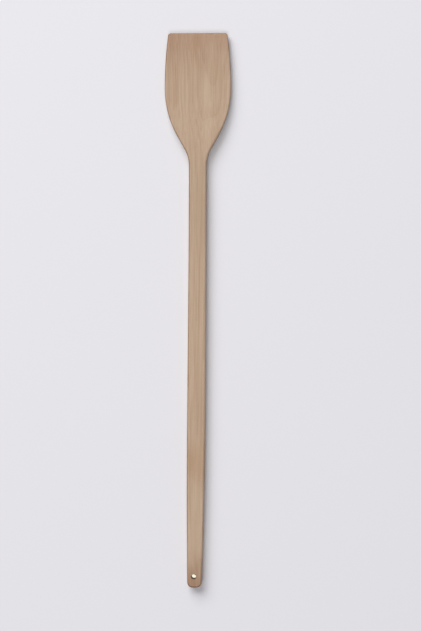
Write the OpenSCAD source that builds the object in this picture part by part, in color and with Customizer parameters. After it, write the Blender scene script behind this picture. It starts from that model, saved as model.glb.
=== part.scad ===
// Cooking paddle, a metre long, sawn, planed and rounded over from one hardwood board.
// It lies on a table: X runs across it, +Y from the handle's end to the blade's tip, and +Z is up.
// The origin is under the middle of its length, on the surface that it lies on.
// The handle keeps the board's thickness and rests on its flat underside. The blade is planed
// thinner from both faces alike, so its tip lies a few millimetres clear of the table.

/* [Board] */
// Length from the blade's tip to the handle's end
paddle_l = 1000; // [800:10:1200]
// Thickness of the board, which the handle keeps
board_t = 20; // [16:1:26]

/* [Blade outline] */
// Width at the widest place
blade_w = 120; // [112:1:132]
// Width across the straight tip, as if its corners were sharp
tip_w = 107; // [96:0.5:110]
// From the tip to the widest place
widest_at = 100; // [85:1:110]
// From the tip to where the neck has narrowed to the handle
blade_l = 241; // [225:1:270]
// Angle between the straight part of the neck and the centre line
neck_angle = 29; // [26:0.5:31]
// Radius of the hollow where the neck runs into the handle
neck_r = 61; // [35:1:70]
// Radius of the tip's corners, seen from above
tip_corner_r = 5; // [4:0.5:14]

/* [Blade thickness] */
// Thickness of the tip
tip_t = 7; // [5:0.5:10]
// Thickness of the blade where its ramp up to the handle starts
blade_t = 11; // [10:0.5:15]
// From the tip to the start of the ramp
ramp_at = 105; // [80:1:140]
// Radius of the blade's eased edges
blade_edge_r = 2.4; // [1.5:0.1:2.4]

/* [Handle] */
// Width where the neck ends
handle_w = 31.8; // [28:0.2:34]
// Width at the fullest place
belly_w = 32.8; // [30:0.2:36]
// From the tip to the fullest place
belly_at = 700; // [500:10:740]
// Width that the taper aims for at the handle's end
end_w = 25.8; // [22:0.2:30]
// Length of the rounding at the handle's end, seen from above
end_round_l = 11; // [10:0.5:16]
// Squareness of that rounding, where 2 is an ellipse
end_squareness = 2.6; // [2:0.1:2.8]
// Radius of the handle's rounded edges
handle_edge_r = 3.5; // [3:0.5:6]
// How far the handle's end stands to the -X side of the blade's centre line
handle_bow = 5.8; // [0:0.2:10]

/* [Hanging hole] */
// Diameter of the hole
hole_d = 8.5; // [6:0.5:10]
// From the handle's end to the middle of the hole
hole_from_end = 20; // [18:0.5:30]
// How far the hole stands to the -X side of the handle's centre line
hole_aside = 1.4; // [0:0.2:3]
// Depth of the small chamfer at each mouth of the hole
hole_chamfer = 0.5; // [0.2:0.1:1]

/* [Hidden] */

// Steps along each stretch of the outline, and round a quarter of an eased edge
corner_steps = 8;
side_steps = 8;
shoulder_steps = 12;
neck_steps = 6;
hollow_steps = 9;
handle_steps = 26;
end_steps = 14;
edge_steps = 6;

round_fn = 64;
cut_margin = 1;
wood_colour = [0.72, 0.62, 0.53];

half_w = blade_w / 2;
handle_half_w = handle_w / 2;

// The side from the tip to the widest place is an arc that is square to the blade at its widest.
side_rise = half_w - tip_w / 2;
side_r = (widest_at ^ 2 + side_rise ^ 2) / (2 * side_rise);

// A tip corner touches the tip's line and lies inside the side's arc, touching it.
side_lean = asin((widest_at - tip_corner_r) / (side_r - tip_corner_r));
corner_x = half_w - side_r + (side_r - tip_corner_r) * cos(side_lean);

// The neck's straight part ends on the hollow, and the shoulder is the arc that touches both that
// straight and the side at the widest place.
hollow_start_s = blade_l - neck_r * sin(neck_angle);
hollow_start_x = handle_half_w + neck_r * (1 - cos(neck_angle));
reach_of_straight = hollow_start_x + tan(neck_angle) * (hollow_start_s - widest_at);
shoulder_r = (reach_of_straight - half_w) / (1 / cos(neck_angle) - 1);
shoulder_end_s = widest_at + shoulder_r * sin(neck_angle);
shoulder_end_x = half_w - shoulder_r * (1 - cos(neck_angle));

// A place on the outline is [x, s, normal]: x is its distance from the centre line, s its distance
// from the tip, and normal the angle of the outward normal, from +X towards the handle's end.
function along_arc(x, s, r, from, to, steps) =
    [for (i = [1:steps]) let (a = from + (to - from) * i / steps) [x + r * cos(a), s + r * sin(a), a]];

// The handle swells gently up to its fullest place and tapers ever faster beyond it.
function swell(s) = (1 - cos(180 * (s - blade_l) / (belly_at - blade_l))) / 2;
function taper(s) = ((s - belly_at) / (paddle_l - belly_at)) ^ 2;
function handle_half(s) =
    s < belly_at
    ? handle_half_w + (belly_w - handle_w) / 2 * swell(s)
    : belly_w / 2 - (belly_w - end_w) / 2 * taper(s);

tip_side =
    concat([[corner_x, 0, -90]],
           along_arc(corner_x, tip_corner_r, tip_corner_r, -90, -side_lean, corner_steps),
           along_arc(half_w - side_r, widest_at, side_r, -side_lean, 0, side_steps));

neck_side =
    concat(along_arc(half_w - shoulder_r, widest_at, shoulder_r, 0, neck_angle, shoulder_steps),
           [for (i = [1:neck_steps])
               let (share = i / neck_steps)
               [shoulder_end_x + share * (hollow_start_x - shoulder_end_x),
                shoulder_end_s + share * (hollow_start_s - shoulder_end_s),
                neck_angle]],
           along_arc(handle_half_w + neck_r, blade_l, -neck_r, neck_angle, 0, hollow_steps));

end_start = paddle_l - end_round_l;
handle_side =
    [for (i = [1:handle_steps])
        let (s = blade_l + (end_start - blade_l) * i / handle_steps)
        [handle_half(s), s, 0]];

// The handle's end is a squared ellipse across the taper.
end_side =
    [for (i = [1:end_steps])
        let (turn = 90 * i / end_steps,
             across = cos(turn) ^ (2 / end_squareness),
             along = sin(turn) ^ (2 / end_squareness),
             s = end_start + end_round_l * along,
             half = handle_half(s))
        [half * across,
         s,
         atan2(along ^ (end_squareness - 1) / end_round_l, across ^ (end_squareness - 1) / half)]];

// The outline runs down the right side from the tip to the handle's end, and back up the left.
right_side = concat(tip_side, neck_side, handle_side, end_side);
last = len(right_side) - 1;
left_side = [for (i = [last - 1:-1:0]) [-right_side[i].x, right_side[i].y, 180 - right_side[i].z]];
outline = concat(right_side, left_side);

// The handle's centre line bows away from the blade's, a little faster towards the end.
bow_power = 1.5;
function bow(s) = -handle_bow * (max(0, s - blade_l) / (paddle_l - blade_l)) ^ bow_power;

// The blade thickens in a curve from its tip, then ramps up to the board's own thickness.
function ease(share) = (1 - cos(180 * share)) / 2;
function ramp(s) = ease(max(0, min(1, (s - ramp_at) / (blade_l - ramp_at))));
function thickness(s) =
    s < ramp_at
    ? blade_t - (blade_t - tip_t) * (1 - s / ramp_at) ^ 2
    : blade_t + (board_t - blade_t) * ramp(s);
function edge_r(s) = blade_edge_r + (handle_edge_r - blade_edge_r) * ramp(s);

// One ring of points stands at each place on the outline. It runs from the upper face, over both
// rounded edges, to the lower face.
function edge_ring(place) =
    let (s = place.y,
         r = edge_r(s),
         half_t = thickness(s) / 2)
    [for (side = [1, -1])
        for (i = [0:edge_steps])
            let (turn = 90 * (side > 0 ? edge_steps - i : i) / edge_steps,
                 inset = r * (1 - cos(turn)))
            [bow(s) + place.x - inset * cos(place.z),
             paddle_l / 2 - s + inset * sin(place.z),
             board_t / 2 + side * (half_t - r + r * sin(turn))]];

ring_size = 2 * (edge_steps + 1);
ring_count = len(outline);
function corner(ring, i) = (ring % ring_count) * ring_size + i;
function facing(ring) = ring_count - 1 - ring;

edge_faces =
    [for (ring = [0:ring_count - 1])
        for (i = [0:ring_size - 2])
            each [[corner(ring, i), corner(ring + 1, i + 1), corner(ring, i + 1)],
                  [corner(ring, i), corner(ring + 1, i), corner(ring + 1, i + 1)]]];

// The upper and lower faces are strips from each place on the right side to the one facing it.
// The last strip runs to the single place at the handle's end.
function strip(ring, i) =
    let (far_side = [corner(ring, i), corner(facing(ring), i), corner(ring + 1, i)],
         near_side = [corner(ring + 1, i), corner(facing(ring), i), corner(facing(ring + 1), i)])
    ring + 1 == last ? [far_side] : [far_side, near_side];
function turned_over(faces) = [for (face = faces) [face[0], face[2], face[1]]];

upper_faces = [for (ring = [0:last - 1]) each strip(ring, 0)];
lower_faces = [for (ring = [0:last - 1]) each turned_over(strip(ring, ring_size - 1))];

module rounded_board() {
    polyhedron(points = [for (place = outline) each edge_ring(place)],
               faces = concat(edge_faces, upper_faces, lower_faces));
}

// A straight hole right through, bored a little aside of the handle's centre line, with a small
// chamfer at both mouths
module hanging_hole() {
    hole_s = paddle_l - hole_from_end;
    mouth_r = hole_d / 2 + hole_chamfer;
    translate([bow(hole_s) - hole_aside, paddle_l / 2 - hole_s, 0]) {
        translate([0, 0, -cut_margin])
            cylinder(d = hole_d, h = board_t + 2 * cut_margin, $fn = round_fn);
        translate([0, 0, -cut_margin])
            cylinder(r1 = mouth_r + cut_margin, r2 = hole_d / 2, h = cut_margin + hole_chamfer,
                     $fn = round_fn);
        translate([0, 0, board_t - hole_chamfer])
            cylinder(r1 = hole_d / 2, r2 = mouth_r + cut_margin, h = cut_margin + hole_chamfer,
                     $fn = round_fn);
    }
}

module paddle() {
    color(wood_colour)
        difference() {
            rounded_board();
            hanging_hole();
        }
}

paddle();
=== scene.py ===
"""The looks of a cooking paddle a metre long: one carved board on a pale floor, in soft light.

Lengths are in metres, in the part's own frame: X across the paddle, +Y to the blade's tip, +Z up.
"""

import math

import bpy
import numpy as np
from mathutils import Matrix, Vector, noise


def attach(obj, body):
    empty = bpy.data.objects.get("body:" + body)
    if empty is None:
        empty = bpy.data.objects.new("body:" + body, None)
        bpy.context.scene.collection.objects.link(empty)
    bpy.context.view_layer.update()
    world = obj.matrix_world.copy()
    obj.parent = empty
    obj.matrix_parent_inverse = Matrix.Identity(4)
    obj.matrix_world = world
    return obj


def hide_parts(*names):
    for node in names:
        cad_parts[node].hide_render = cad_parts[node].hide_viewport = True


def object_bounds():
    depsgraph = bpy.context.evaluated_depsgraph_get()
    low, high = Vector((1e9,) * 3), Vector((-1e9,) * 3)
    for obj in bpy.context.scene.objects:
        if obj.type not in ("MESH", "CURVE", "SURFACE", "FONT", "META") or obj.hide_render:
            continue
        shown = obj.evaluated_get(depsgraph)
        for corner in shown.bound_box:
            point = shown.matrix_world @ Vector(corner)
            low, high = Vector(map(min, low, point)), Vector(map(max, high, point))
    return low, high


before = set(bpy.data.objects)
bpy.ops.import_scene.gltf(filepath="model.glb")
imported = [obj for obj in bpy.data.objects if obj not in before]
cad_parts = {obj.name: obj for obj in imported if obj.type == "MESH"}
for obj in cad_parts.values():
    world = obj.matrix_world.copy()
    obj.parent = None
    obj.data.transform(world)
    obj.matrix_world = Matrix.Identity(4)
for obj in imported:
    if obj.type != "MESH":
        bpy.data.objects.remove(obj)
cad_low, cad_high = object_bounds()

MM = 0.001
HALF_TURN = math.pi
QUARTER_TURN = math.pi / 2

# The board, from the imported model
PADDLE_L = cad_high.y - cad_low.y
BLADE_W = cad_high.x - cad_low.x
BOARD_T = cad_high.z - cad_low.z

# Its outline and edges, as the part's source has them. Distances called s run from the tip.
TIP_W = 107 * MM
WIDEST_AT = 100 * MM
BLADE_L = 241 * MM
NECK_ANGLE = math.radians(29)
NECK_R = 61 * MM
TIP_CORNER_R = 5 * MM
TIP_T = 7 * MM
BLADE_T = 11 * MM
RAMP_AT = 105 * MM
BLADE_EDGE_R = 2.4 * MM
HANDLE_W = 31.8 * MM
BELLY_W = 32.8 * MM
BELLY_AT = 700 * MM
END_W = 25.8 * MM
END_ROUND_L = 11 * MM
END_SQUARENESS = 2.6
HANDLE_EDGE_R = 3.5 * MM
HANDLE_BOW = 5.8 * MM
BOW_POWER = 1.5
HOLE_R = 4.25 * MM
HOLE_S = PADDLE_L - 20 * MM
HOLE_ASIDE = 1.4 * MM
HOLE_RIM_R = 0.6 * MM

# The mesh: its columns across each face, and its steps along and round what it follows
COLUMNS = 40
BLADE_PITCH = 1.6 * MM
HANDLE_PITCH = 1.9 * MM
END_STEPS = 20
END_TURN = math.radians(72)
EDGE_STEPS = 8
WALL_STEPS = 4
HOLE_CELLS = 24
HOLE_BLOCK = 12 * MM
HOLE_RINGS = 6
HOLE_WALL_STEPS = 10

# How deep the hand plane and the years have cut, and the size of that pattern across, along and up
FACE_WEAR = 0.2 * MM
FACE_WEAR_SIZE = (28 * MM, 90 * MM, 28 * MM)
EDGE_WEAR = 0.35 * MM
EDGE_WEAR_SIZE = (7 * MM, 19 * MM, 7 * MM)

# The wood's colour, and the tones that multiply it
WOOD = (0.53, 0.39, 0.278, 1)
LATE_WOOD = (0.95, 0.925, 0.90)
FLECK = (0.80, 0.74, 0.68)
LEFT_TONE = (0.945, 0.93, 0.92)
RED_STREAK = (0.955, 0.915, 0.875)
EDGE_TONE = (0.66, 0.60, 0.54)
END_GRAIN = (0.88, 0.82, 0.77)
# Painted shade for the hole's wall and rim
HOLE_SHADE_TONE = (0.66, 0.55, 0.44)

# Growth rings round a pith that lies beside the board and under it
PITH = (35 * MM, 0, -75 * MM)
RING_W = 3 * MM
RING_DRIFT = 26 * MM
RING_DRIFT_SIZE = (90 * MM, 420 * MM, 90 * MM)
WAVE_RINGS_PER_TURN = 20

# Streaks along the grain: their width, their length and the tone of the dark ones. The first are fibres.
STREAKS = (
    (0.7 * MM, 70 * MM, (0.90, 0.87, 0.84)),
    (2.2 * MM, 160 * MM, (0.94, 0.92, 0.90)),
    (30 * MM, 320 * MM, (0.95, 0.93, 0.91)),
)
FLECK_SIZE = (0.5 * MM, 5 * MM, 0.5 * MM)
FIBRE_RELIEF = 0.08 * MM

# Darker zones across the board: the middle's distance from the tip, their reach, and the tone there
ZONES = (
    (-10 * MM, 120 * MM, (0.82, 0.735, 0.69)),
    (303 * MM, 120 * MM, (0.93, 0.925, 0.905)),
    (780 * MM, 62 * MM, (0.91, 0.85, 0.78)),
    (1010 * MM, 85 * MM, (0.646, 0.53, 0.476)),
)
SWAY = 12 * MM
SWAY_SIZE = (14 * MM, 60 * MM, 14 * MM)

# The blade's darker left side grows from the first of these to the second, and has one red streak
LEFT_SIDE_X = (-5 * MM, -50 * MM)
LEFT_SIDE_S = (BLADE_L, 170 * MM)
RED_STREAK_X = -41 * MM
RED_STREAK_S = 95 * MM
RED_STREAK_HALF_W = (9 * MM, 2 * MM)
RED_STREAK_HALF_L = (60 * MM, 25 * MM)

# Painted shade in the hole, which fades out between these distances from its axis
HOLE_SHADE_R = (HOLE_R + 1.2 * MM, HOLE_R + 0.4 * MM)

# The photograph: its size, what a pixel measures, and the pixels of the origin and of the camera's foot
PHOTO_W, PHOTO_H = 421, 631
PIXEL = 1.7985 * MM
ORIGIN_PX = (197.55, 309.4)
UNDER_CAMERA_PX = (280, 345)
CAMERA_H = 3.2
SENSOR = 36.0

# The floor, which fades into the room round it, and painted light: a spot under the hole that glows
# where the board's shade falls
FLOOR_SIZE = 12.0
FLOOR_GAP = 0.2 * MM
FLOOR_FADE = (0.8, 2.5)
FLOOR_COLOUR = (0.808, 0.800, 0.832, 1)
HOLE_GLOW_COLOUR = (1.0, 0.96, 0.78, 1)
HOLE_GLOW_LEVEL = 0.95

# Lamps by their direction, their size at LAMP_AT from the origin, and their share of the floor's light
LAMP_AT = 10.0
LAMPS = (
    ("window", math.radians(118), math.radians(48), 8.8, 7.2, 0.66),
    ("overhead", math.radians(262), math.radians(25), 4.8, 4.8, 0.265),
)
ROOM_LEVEL = 0.22
ROOM_SEEN = 0.95


def smoothstep(x):
    return (1 - np.cos(math.pi * np.clip(x, 0, 1))) / 2


def ramp(s):
    return smoothstep((s - RAMP_AT) / (BLADE_L - RAMP_AT))


def thickness(s):
    thin = BLADE_T - (BLADE_T - TIP_T) * (1 - np.minimum(s, RAMP_AT) / RAMP_AT) ** 2
    return thin + (BOARD_T - BLADE_T) * ramp(s)


def edge_r(s):
    return BLADE_EDGE_R + (HANDLE_EDGE_R - BLADE_EDGE_R) * ramp(s)


def bow(s):
    return -HANDLE_BOW * (np.maximum(0, s - BLADE_L) / (PADDLE_L - BLADE_L)) ** BOW_POWER


def handle_half(s):
    swell = smoothstep((s - BLADE_L) / (BELLY_AT - BLADE_L))
    taper = (np.maximum(0, s - BELLY_AT) / (PADDLE_L - BELLY_AT)) ** 2
    return (HANDLE_W + (BELLY_W - HANDLE_W) * swell - (BELLY_W - END_W) * taper) / 2


def hole_centre():
    return np.array([float(bow(HOLE_S)) - HOLE_ASIDE, PADDLE_L / 2 - HOLE_S])


def along_arc(x, s, r, start, end, pitch):
    """Places on an arc, without its first: rows of x, s and the outward normal's angle."""
    steps = max(4, math.ceil(abs(r * (end - start)) / pitch))
    turn = np.linspace(start, end, steps + 1)[1:]
    return np.stack([x + r * np.cos(turn), s + r * np.sin(turn), turn], 1)


def end_places(turn):
    """Places on the squared ellipse that rounds the handle's end, at turns from right to left."""
    across = np.sign(np.cos(turn)) * np.abs(np.cos(turn)) ** (2 / END_SQUARENESS)
    along = np.sin(turn) ** (2 / END_SQUARENESS)
    s = PADDLE_L - END_ROUND_L * (1 - along)
    half = handle_half(s)
    power = END_SQUARENESS - 1
    slope = np.sign(across) * np.abs(across) ** power / half
    return np.stack([half * across, s, np.arctan2(along ** power / END_ROUND_L, slope)], 1)


def blade_side():
    """The outline's right side from the tip's corner to where the neck ends."""
    half_w, handle_half_w = BLADE_W / 2, HANDLE_W / 2
    rise = half_w - TIP_W / 2
    side_r = (WIDEST_AT ** 2 + rise ** 2) / (2 * rise)
    lean = math.asin((WIDEST_AT - TIP_CORNER_R) / (side_r - TIP_CORNER_R))
    corner_x = half_w - side_r + (side_r - TIP_CORNER_R) * math.cos(lean)
    corner = along_arc(corner_x, TIP_CORNER_R, TIP_CORNER_R, -QUARTER_TURN, -lean, BLADE_PITCH / 2)
    side = along_arc(half_w - side_r, WIDEST_AT, side_r, -lean, 0, BLADE_PITCH)

    hollow_s = BLADE_L - NECK_R * math.sin(NECK_ANGLE)
    hollow_x = handle_half_w + NECK_R * (1 - math.cos(NECK_ANGLE))
    reach = hollow_x + math.tan(NECK_ANGLE) * (hollow_s - WIDEST_AT)
    shoulder_r = (reach - half_w) / (1 / math.cos(NECK_ANGLE) - 1)
    shoulder = along_arc(half_w - shoulder_r, WIDEST_AT, shoulder_r, 0, NECK_ANGLE, BLADE_PITCH)
    start = shoulder[-1]
    steps = math.ceil(math.hypot(hollow_x - start[0], hollow_s - start[1]) / BLADE_PITCH)
    share = np.linspace(0, 1, steps + 1)[1:, None]
    straight = start + share * (np.array([hollow_x, hollow_s, NECK_ANGLE]) - start)
    hollow = along_arc(handle_half_w + NECK_R, BLADE_L, -NECK_R, NECK_ANGLE, 0, BLADE_PITCH)
    return np.concatenate([[[corner_x, 0, -QUARTER_TURN]], corner, side, shoulder, straight, hollow])


def handle_side():
    """The right side from the neck to the last row at the handle's end, and the hole's first row."""
    block = HOLE_S + HOLE_BLOCK * np.linspace(-0.5, 0.5, HOLE_CELLS + 1)
    steps = math.ceil((block[0] - BLADE_L) / HANDLE_PITCH)
    before = np.linspace(BLADE_L, block[0], steps + 1)[1:-1]
    s = np.concatenate([before, block])
    sides = np.stack([handle_half(s), s, 0 * s], 1)
    end = end_places(np.linspace(0, END_TURN, END_STEPS + 1))
    return np.concatenate([sides, end]), len(before)


class Board:
    """Collects the board's points and faces."""

    def __init__(self):
        self.points = []
        self.count = 0
        self.faces = []

    def add(self, points):
        """Adds an array of points, and returns their numbers in the same arrangement."""
        shape = points.shape[:-1]
        numbers = np.arange(self.count, self.count + math.prod(shape)).reshape(shape)
        self.points.append(points.reshape(-1, 3))
        self.count += numbers.size
        return numbers

    def quads(self, grid, keep=None, flip=False):
        """Adds a face between each four neighbours in a grid of point numbers, where keep is true."""
        faces = np.stack([grid[:-1, :-1], grid[1:, :-1], grid[1:, 1:], grid[:-1, 1:]], -1)
        faces = faces.reshape(-1, 4) if keep is None else faces[keep]
        self.faces.append(faces[:, ::-1] if flip else faces)


def closed(grid):
    """The grid with its first column again as its last."""
    return np.concatenate([grid, grid[:, :1]], 1)


def edge_rings(places):
    """The rounded edge's points at each place, from the upper face's border to the lower's."""
    x, s, normal = places[:, 0:1], places[:, 1:2], places[:, 2:3]
    r, half_t = edge_r(s), thickness(s) / 2
    turn = np.linspace(QUARTER_TURN, 0, EDGE_STEPS + 1)[None, :]
    inset = r * (1 - np.cos(turn))
    rise = half_t - r + r * np.sin(turn)
    wall = np.linspace(1, -1, WALL_STEPS + 1)[None, 1:-1] * (half_t - r)
    insets = np.concatenate([inset, 0 * wall, inset[:, ::-1]], 1)
    rises = np.concatenate([rise, wall, -rise[:, ::-1]], 1)
    return np.stack([bow(s) + x - insets * np.cos(normal),
                     PADDLE_L / 2 - s + insets * np.sin(normal),
                     BOARD_T / 2 + rises], -1)


def hole_rings(square):
    """Rings from the upper face's square block round the hole down its wall to the lower face's."""
    centre = hole_centre()
    angle = np.arctan2(square[:, 1] - centre[1], square[:, 0] - centre[0])
    circle = np.stack([np.cos(angle), np.sin(angle)], 1)
    rim = centre + (HOLE_R + HOLE_RIM_R) * circle
    rings = []

    def add(flat, z):
        rings.append(np.concatenate([flat, np.full((len(flat), 1), z)], 1))

    for share in np.linspace(0, 1, HOLE_RINGS + 1)[1:-1]:
        add(square[:, :2] * (1 - share) + rim * share, BOARD_T)
    for turn in np.linspace(0, QUARTER_TURN, 5):
        reach = HOLE_R + HOLE_RIM_R * (1 - math.sin(turn))
        add(centre + reach * circle, BOARD_T - HOLE_RIM_R * (1 - math.cos(turn)))
    mirrored = [np.concatenate([ring[:, :2], BOARD_T - ring[:, 2:]], 1) for ring in rings[::-1]]
    for level in np.linspace(BOARD_T - HOLE_RIM_R, HOLE_RIM_R, HOLE_WALL_STEPS + 1)[1:-1]:
        add(centre + HOLE_R * circle, level)
    return np.stack(rings + mirrored)


def build_board():
    """The whole paddle as one closed mesh of quads."""
    blade = blade_side()
    handle, before = handle_side()
    right = np.concatenate([blade, handle])
    hole_row = len(blade) + before
    column_w = 2 * (handle_half(HOLE_S) - HANDLE_EDGE_R) / COLUMNS
    hole_column = (COLUMNS - HOLE_CELLS) // 2 + round(HOLE_ASIDE / column_w)
    rows = len(right) - 1
    end = end_places(np.linspace(END_TURN, HALF_TURN - END_TURN, COLUMNS + 1)[1:-1])
    left = right[::-1] * [-1, 1, -1] + [0, 0, HALF_TURN]
    share = np.linspace(-1, 1, COLUMNS + 1)[1:-1, None]
    tip = share * [right[0, 0], 0, 0] + [0, 0, -QUARTER_TURN]
    rings = edge_rings(np.concatenate([right, end, left, tip]))
    end_at, left_at, tip_at = rows + 1, rows + COLUMNS, 2 * rows + COLUMNS + 1

    board = Board()
    share = np.linspace(0, 1, COLUMNS + 1)[None, :, None]
    faces = []
    for border in (rings[:, 0], rings[:, -1]):
        grid = border[:end_at, None] * (1 - share) + border[left_at:tip_at][::-1, None] * share
        grid[0, 1:-1] = border[tip_at:][::-1]
        grid[rows, 1:-1] = border[end_at:left_at]
        faces.append(board.add(grid))

    # The hole takes a square block of cells out of both faces.
    keep = np.ones((rows, COLUMNS), bool)
    keep[hole_row:hole_row + HOLE_CELLS, hole_column:hole_column + HOLE_CELLS] = False
    borders, blocks = [], []
    for grid, flip in zip(faces, (True, False)):
        board.quads(grid, keep, flip)
        sides = [grid[:, 0], grid[rows, 1:-1], grid[::-1, COLUMNS], grid[0, -2:0:-1]]
        borders.append(np.concatenate(sides))
        block = grid[hole_row:hole_row + HOLE_CELLS + 1, hole_column:hole_column + HOLE_CELLS + 1]
        blocks.append(np.concatenate([block[:-1, 0], block[-1, :-1], block[:0:-1, -1], block[0, :0:-1]]))

    inner = board.add(rings[:, 1:-1])
    board.quads(closed(np.stack([borders[0], *inner.T, borders[1]])), flip=True)
    tunnel = board.add(hole_rings(np.concatenate(board.points)[blocks[0]]))
    board.quads(closed(np.stack([blocks[0], *tunnel, blocks[1]])))

    faces = np.concatenate(board.faces)
    used, faces = np.unique(faces, return_inverse=True)
    points = np.concatenate(board.points)[used]
    mesh = bpy.data.meshes.new("carved_board")
    mesh.from_pydata(points.tolist(), [], faces.reshape(-1, 4).tolist())
    wear_down(mesh)
    mesh.shade_smooth()
    return mesh


def unevenness(place, size):
    """Smooth noise from 0 to 1 whose pattern has this size along each axis."""
    scaled = [along / length for along, length in zip(place, size)]
    return min(1, max(0, (1 + noise.noise(scaled)) / 2))


def wear_down(mesh):
    """Moves the board's points inward a little, and more in places along its edges."""
    normals = [normal.vector.copy() for normal in mesh.vertex_normals]
    for point, normal in zip(mesh.vertices, normals):
        on_edge = 4 * normal.z ** 2 * (1 - normal.z ** 2)
        nick = max(0, 2 * unevenness(point.co, EDGE_WEAR_SIZE) - 1)
        depth = FACE_WEAR * unevenness(point.co, FACE_WEAR_SIZE) + EDGE_WEAR * on_edge * nick
        point.co -= normal * depth


class Nodes:
    """The node tree of a material or a world, with short calls for the nodes that it needs."""

    def __init__(self, owner):
        owner.use_nodes = True
        self.tree = owner.node_tree

    def give(self, socket, value):
        """Joins a socket to an output, or sets it to a plain value."""
        if isinstance(value, bpy.types.NodeSocket):
            self.tree.links.new(value, socket)
        else:
            socket.default_value = value

    def set(self, node, socket, value):
        self.give(self.tree.nodes[node].inputs[socket], value)

    def add(self, kind, inputs=None, output=0, **settings):
        """Adds a node with its settings and inputs, and returns one of its outputs."""
        node = self.tree.nodes.new("ShaderNode" + kind)
        for name, value in settings.items():
            setattr(node, name, value)
        for socket, value in (inputs or {}).items():
            self.give(node.inputs[socket], value)
        return node.outputs[output]

    def math(self, operation, a, b=0.0):
        return self.add("Math", {0: a, 1: b}, operation=operation)

    def eased(self, value, start, end, low=0.0, high=1.0):
        """Runs smoothly from low where the value is at start to high where it is at end."""
        inputs = {0: value, 1: start, 2: end, 3: low, 4: high}
        return self.add("MapRange", inputs, interpolation_type="SMOOTHSTEP")

    def scaled(self, place, size, seed):
        inputs = {0: place, 1: [1 / length for length in size], 2: [7.3 * seed] * 3}
        return self.add("VectorMath", inputs, operation="MULTIPLY_ADD")

    def noise(self, place, size, seed, output=0):
        """Noise round 0.5 whose pattern has this size along each axis."""
        inputs = {"Vector": self.scaled(place, size, seed), "Scale": 1.0, "Detail": 2.0}
        return self.add("TexNoise", inputs, output)

    def away(self, value, middle):
        """How far a value lies from a middle."""
        return self.math("ABSOLUTE", self.math("SUBTRACT", value, middle))

    def tint(self, colour, mask, tone):
        """Multiplies a colour by a tone where the mask is 1."""
        inputs = {0: mask, 6: colour, 7: (*tone, 1)}
        return self.add("Mix", inputs, 2, data_type="RGBA", blend_type="MULTIPLY")

    def seen_rays(self):
        """1 for the rays that show a thing to the camera, straight on or in a shiny or clear surface."""
        names = ("Is Camera Ray", "Is Glossy Ray", "Is Transmission Ray")
        camera, glossy, clear = (self.add("LightPath", output=name) for name in names)
        return self.math("MAXIMUM", self.math("MAXIMUM", camera, glossy), clear)


def add_rings(nodes, place, colour):
    """Growth rings that wander along the board, each darker towards its outer side."""
    drift = nodes.noise(place, RING_DRIFT_SIZE, 3, output=1)
    from_pith = [-along for along in PITH]
    inputs = {0: drift, 1: (RING_DRIFT, 0, RING_DRIFT), 2: from_pith}
    offset = nodes.add("VectorMath", inputs, operation="MULTIPLY_ADD")
    bent = nodes.add("VectorMath", {0: place, 1: offset}, operation="ADD")
    scale = 2 * HALF_TURN / WAVE_RINGS_PER_TURN / RING_W
    ring = nodes.add("TexWave", {"Vector": bent, "Scale": scale}, 1,
                     wave_type="RINGS", rings_direction="Y", wave_profile="SAW")
    return nodes.tint(colour, nodes.eased(ring, 0.3, 1), LATE_WOOD)


def add_flecks(nodes, place, colour):
    """Short dark flecks along the grain, in a part of the places where one could be."""
    inputs = {"Vector": nodes.scaled(place, FLECK_SIZE, 5), "Scale": 1.0}
    distance = nodes.add("TexVoronoi", inputs)
    chosen = nodes.math("GREATER_THAN", distance.node.outputs[1], 0.6)
    fleck = nodes.math("MULTIPLY", nodes.eased(distance, 0.3, 0.12), chosen)
    return nodes.tint(colour, fleck, FLECK)


def add_zones(nodes, place, colour):
    """The darker tip, handle's end and patch, and the blade's darker left side with its red streak."""
    sway = nodes.noise(place, SWAY_SIZE, 9)
    sway = nodes.eased(sway, 0.25, 0.75, -SWAY, SWAY)
    x, y = (nodes.add("SeparateXYZ", {0: place}, axis) for axis in (0, 1))
    s = nodes.math("SUBTRACT", nodes.math("ADD", sway, PADDLE_L / 2), y)
    for middle, reach, tone in ZONES:
        colour = nodes.tint(colour, nodes.eased(nodes.away(s, middle), reach, 0), tone)
    left = nodes.math("MULTIPLY", nodes.eased(x, *LEFT_SIDE_X), nodes.eased(s, *LEFT_SIDE_S))
    colour = nodes.tint(colour, left, LEFT_TONE)
    beside = nodes.eased(nodes.away(x, RED_STREAK_X), *RED_STREAK_HALF_W)
    along = nodes.eased(nodes.away(s, RED_STREAK_S), *RED_STREAK_HALF_L)
    return nodes.tint(colour, nodes.math("MULTIPLY", beside, along), RED_STREAK)


def add_edge_end_and_hole_tones(nodes, place, colour):
    """Darker rounded edges on the left side and the ends, darker end grain, and painted shade in the
    hole.
    """
    normal = nodes.add("NewGeometry", output="Normal")
    right, along, up = (nodes.add("SeparateXYZ", {0: normal}, axis) for axis in (0, 1, 2))
    patchy = nodes.eased(nodes.noise(place, EDGE_WEAR_SIZE, 13), 0.3, 0.6, 0.7, 1)
    rounded = nodes.eased(nodes.math("ABSOLUTE", up), 0.995, 0.85)
    left_edges = nodes.math("MULTIPLY", nodes.eased(right, 0.5, -0.2), patchy)
    colour = nodes.tint(colour, nodes.math("MULTIPLY", rounded, left_edges), EDGE_TONE)
    colour = nodes.tint(colour, nodes.eased(nodes.math("ABSOLUTE", along), 0.5, 0.95), END_GRAIN)
    # Painted shade: the hole's wall and rim are darkened where its shade falls
    flat = nodes.add("VectorMath", {0: place, 1: (1, 1, 0)}, operation="MULTIPLY")
    from_hole = nodes.add("VectorMath", {0: flat, 1: (*hole_centre(), 0)}, 1, operation="DISTANCE")
    return nodes.tint(colour, nodes.eased(from_hole, *HOLE_SHADE_R), HOLE_SHADE_TONE)


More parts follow.
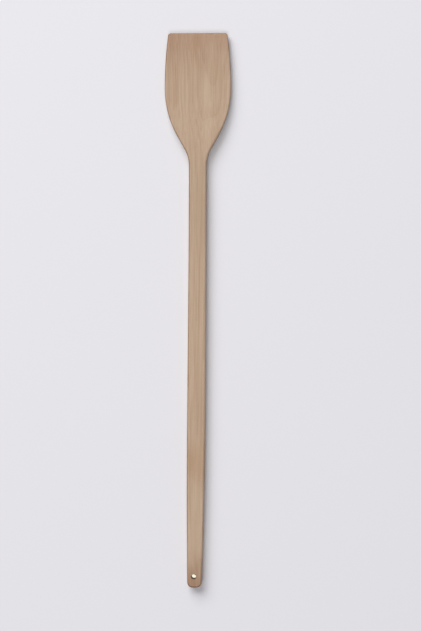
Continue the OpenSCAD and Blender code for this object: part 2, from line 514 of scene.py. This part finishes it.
def wood_material():
    """Bare pale hardwood, planed and handled, with its grain along the paddle."""
    material = bpy.data.materials.new("wood")
    nodes = Nodes(material)
    place = nodes.add("TexCoord", output="Object")
    streaks = [nodes.noise(place, (width, length, width), seed)
               for seed, (width, length, _) in enumerate(STREAKS)]
    colour = WOOD
    for streak, (_, _, tone) in zip(streaks, STREAKS):
        colour = nodes.tint(colour, nodes.eased(streak, 0.42, 0.66), tone)
    for add_detail in (add_rings, add_flecks, add_zones, add_edge_end_and_hole_tones):
        colour = add_detail(nodes, place, colour)
    fibre = streaks[0]
    nodes.set("Principled BSDF", "Base Color", colour)
    nodes.set("Principled BSDF", "Roughness", nodes.eased(fibre, 0.35, 0.65, 0.52, 0.68))
    nodes.set("Principled BSDF", "Specular IOR Level", 0.35)
    bump = nodes.add("Bump", {"Strength": 0.6, "Distance": FIBRE_RELIEF, "Height": fibre})
    nodes.set("Principled BSDF", "Normal", bump)
    return material


def floor_material():
    """A matt pale floor that fades into the room, with painted light: a glowing spot under the hole,
    where the board's shade falls.
    """
    material = bpy.data.materials.new("floor")
    nodes = Nodes(material)
    place = nodes.add("TexCoord", output="Object")
    # Painted light: the floor under the hole glows for the seen rays, where the board's shade would fall
    from_hole = nodes.add("VectorMath", {0: place, 1: (*hole_centre(), 0)}, 1, operation="DISTANCE")
    spot = nodes.math("LESS_THAN", from_hole, HOLE_R)
    seen = nodes.seen_rays()
    level = nodes.math("MULTIPLY", nodes.math("MULTIPLY", spot, seen), HOLE_GLOW_LEVEL)
    nodes.set("Principled BSDF", "Base Color", FLOOR_COLOUR)
    nodes.set("Principled BSDF", "Roughness", 1.0)
    nodes.set("Principled BSDF", "Specular IOR Level", 0.0)
    nodes.set("Principled BSDF", "Emission Color", HOLE_GLOW_COLOUR)
    nodes.set("Principled BSDF", "Emission Strength", level)
    far = nodes.add("VectorMath", {0: place}, 1, operation="LENGTH")
    faded = nodes.math("MULTIPLY", nodes.eased(far, *FLOOR_FADE), seen)
    room = nodes.add("Emission", {"Color": FLOOR_COLOUR, "Strength": ROOM_SEEN})
    matt = nodes.tree.nodes["Principled BSDF"].outputs["BSDF"]
    nodes.set("Material Output", "Surface", nodes.add("MixShader", {0: faded, 1: matt, 2: room}))
    return material


def photo_point(px, height=0.0):
    """The place in the frame, at a height, that a pixel of the photograph shows."""
    return Vector(((px[0] - ORIGIN_PX[0]) * PIXEL, (ORIGIN_PX[1] - px[1]) * PIXEL, height))


def make_camera():
    place = photo_point(UNDER_CAMERA_PX, CAMERA_H)
    target = photo_point((PHOTO_W / 2, PHOTO_H / 2), BOARD_T)
    back = (place - target).normalized()
    right = Vector((0, 1, 0)).cross(back).normalized()
    up = back.cross(right)
    data = bpy.data.cameras.new("camera")
    data.sensor_width = SENSOR
    data.lens = (place - target).length / PIXEL * SENSOR / PHOTO_H
    camera = bpy.data.objects.new("camera", data)
    camera.matrix_world = Matrix.Translation(place) @ Matrix((right, up, back)).transposed().to_4x4()
    bpy.context.scene.collection.objects.link(camera)
    bpy.context.scene.camera = camera


def make_floor():
    mesh = bpy.data.meshes.new("floor")
    half = FLOOR_SIZE / 2
    corners = [(-half, -half, 0), (half, -half, 0), (half, half, 0), (-half, half, 0)]
    mesh.from_pydata(corners, [], [(0, 1, 2, 3)])
    floor = bpy.data.objects.new("floor", mesh)
    floor.location.z = -FLOOR_GAP
    mesh.materials.append(floor_material())
    bpy.context.scene.collection.objects.link(floor)


def make_lamp(name, azimuth, zenith, width, height, share):
    """A square of light that aims at the origin and gives the floor there its share of light."""
    data = bpy.data.lights.new(name, "AREA")
    data.shape = "RECTANGLE"
    data.size = width
    data.size_y = height
    data.energy = share * (math.pi * LAMP_AT) ** 2 / math.cos(zenith)
    lamp = bpy.data.objects.new(name, data)
    across = math.sin(zenith)
    away = Vector((across * math.cos(azimuth), across * math.sin(azimuth), math.cos(zenith)))
    lamp.location = LAMP_AT * away
    lamp.rotation_mode = "QUATERNION"
    lamp.rotation_quaternion = (-away).to_track_quat("-Z", "Y")
    bpy.context.scene.collection.objects.link(lamp)


def make_room():
    """Dim light from all round, which looks pale where the camera sees it."""
    world = bpy.data.worlds.new("room")
    nodes = Nodes(world)
    nodes.set("Background", "Color", FLOOR_COLOUR)
    nodes.set("Background", "Strength", nodes.eased(nodes.seen_rays(), 0, 1, ROOM_LEVEL, ROOM_SEEN))
    bpy.context.scene.world = world


make_camera()
make_floor()
make_room()
for lamp in LAMPS:
    make_lamp(*lamp)

board = bpy.data.objects.new("carved_board", build_board())
board.data.materials.append(wood_material())
bpy.context.scene.collection.objects.link(board)
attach(board, "root")
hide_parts("paddle")

bpy.context.scene.view_settings.view_transform = "Standard"
